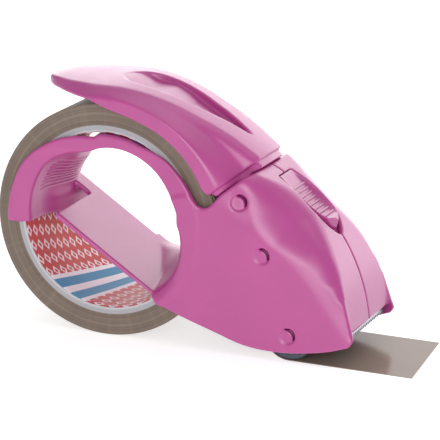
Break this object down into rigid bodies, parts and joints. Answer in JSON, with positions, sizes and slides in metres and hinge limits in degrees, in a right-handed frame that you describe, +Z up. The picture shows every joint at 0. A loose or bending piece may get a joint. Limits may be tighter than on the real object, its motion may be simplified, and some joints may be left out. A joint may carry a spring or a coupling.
{
  "type": "hand-held packing tape dispenser",
  "caption": "Hand-held packing tape dispenser: tape roll on an open finger hub, palm lever brake, rubber roller, thumb slider for the blade and toothed blade under the nose.",
  "frame": {"origin": "centre of the object's box, on the surface it stands on", "axes": "+X towards the blade and the free end of the tape, +Y along the roll's axis towards the open side where rolls are loaded, +Z up"},
  "size_m": [0.187, 0.0568, 0.1079],
  "materials": {
    "pink_plastic": "moulded pink plastic, satin with a soft sheen",
    "tape_film": "tan polypropylene packing film, glossy",
    "tape_side": "stacked film edges, brown, fine concentric lines",
    "paperboard": "grey wound paperboard",
    "liner_print": "printed paper, red with blue and white",
    "rubber": "dark grey-blue rubber",
    "inner_plastic": "pale grey moulded plastic",
    "steel": "bright steel",
    "spring_steel": "plated spring wire",
    "pad_rubber": "dark brake rubber"
  },
  "bodies": {
    "casing": {"near_shell": "pink_plastic", "far_shell": "pink_plastic", "shell_screws": "steel", "roller_axle": "steel", "lever_pivot_tube": "steel", "roller_washers": "inner_plastic", "tape_film": "tape_film", "lever_spring": "spring_steel", "carrier_spring": "spring_steel"},
    "lever": {"brake_lever": "pink_plastic", "brake_pad": "pad_rubber"},
    "roll": {"tape_winding": "tape_side", "tape_core": "paperboard", "core_liner": "liner_print"},
    "roller": {"roller_tyre": "rubber", "roller_wheel": "inner_plastic"},
    "cutter": {"blade": "steel", "blade_carrier": "inner_plastic", "blade_rivets": "steel", "thumb_button": "pink_plastic"}
  },
  "joints": [
    {"name": "brake_press", "type": "hinge", "parent": "casing", "child": "lever", "pos_m": [0.01651, 0, 0.06519], "axis": [0, -1, 0], "range_deg": [0, 1.8], "stiffness_Nm_per_rad": 1, "springref_deg": -2.86, "deforming": ["lever_spring"]},
    {"name": "roll_spin", "type": "hinge", "parent": "casing", "child": "roll", "pos_m": [-0.0435, 0, 0.05], "axis": [0, 1, 0], "continuous": true},
    {"name": "roller_spin", "type": "hinge", "parent": "casing", "child": "roller", "pos_m": [0.04, 0, 0.0114], "axis": [0, 1, 0], "continuous": true},
    {"name": "blade_push", "type": "hinge", "parent": "casing", "child": "cutter", "pos_m": [-0.0108, 0, 0.00558], "axis": [0, 1, 0], "range_deg": [0, 2.35], "stiffness_Nm_per_rad": 2, "springref_deg": -2.86, "deforming": ["carrier_spring"]}
  ],
  "couplings": [
    {"joint": "roller_spin", "follows": "roll_spin", "ratio": -4.6296}
  ]
}
